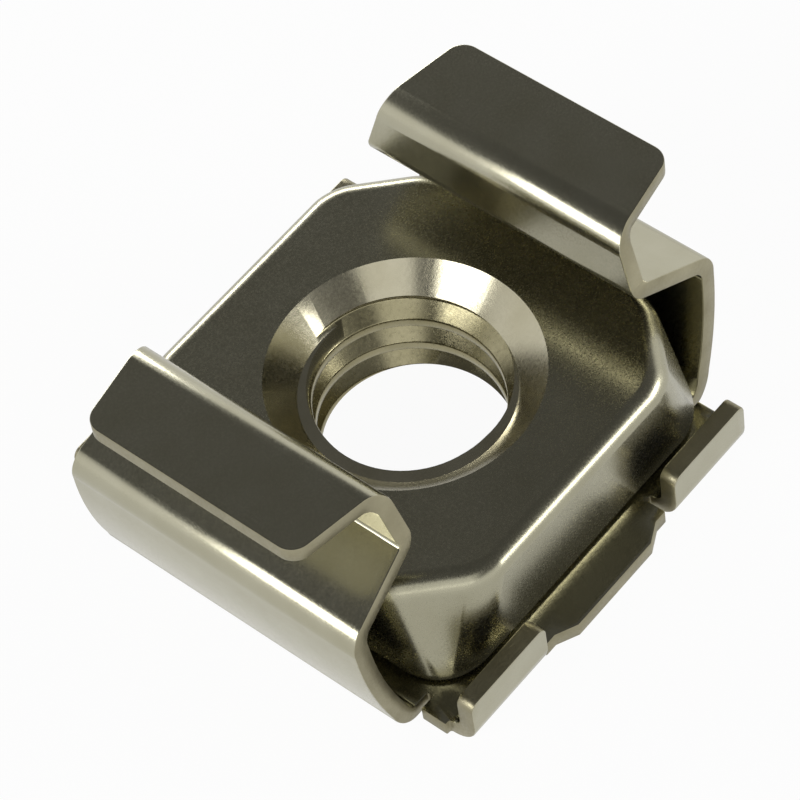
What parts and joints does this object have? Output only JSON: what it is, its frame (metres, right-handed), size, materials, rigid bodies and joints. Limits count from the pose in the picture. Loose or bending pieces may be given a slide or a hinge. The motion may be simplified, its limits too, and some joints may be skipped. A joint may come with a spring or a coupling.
{
  "type": "rack cage nut",
  "caption": "Square threaded nut held loosely in a folded spring-steel cage whose hooked wings clip into a square hole of a rail.",
  "frame": {"origin": "middle of the underside of the cage's base plate", "axes": "+Z along the thread toward the hooks, X across the wings, Y along the wings"},
  "size_m": [0.0146, 0.0134, 0.0079],
  "materials": {
    "cage_steel": "bright plated spring steel with a faint yellow tint",
    "nut_steel": "plated steel with fine scratches"
  },
  "bodies": {
    "root": {"cage": "cage_steel", "square_nut": "nut_steel"}
  },
  "joints": []
}
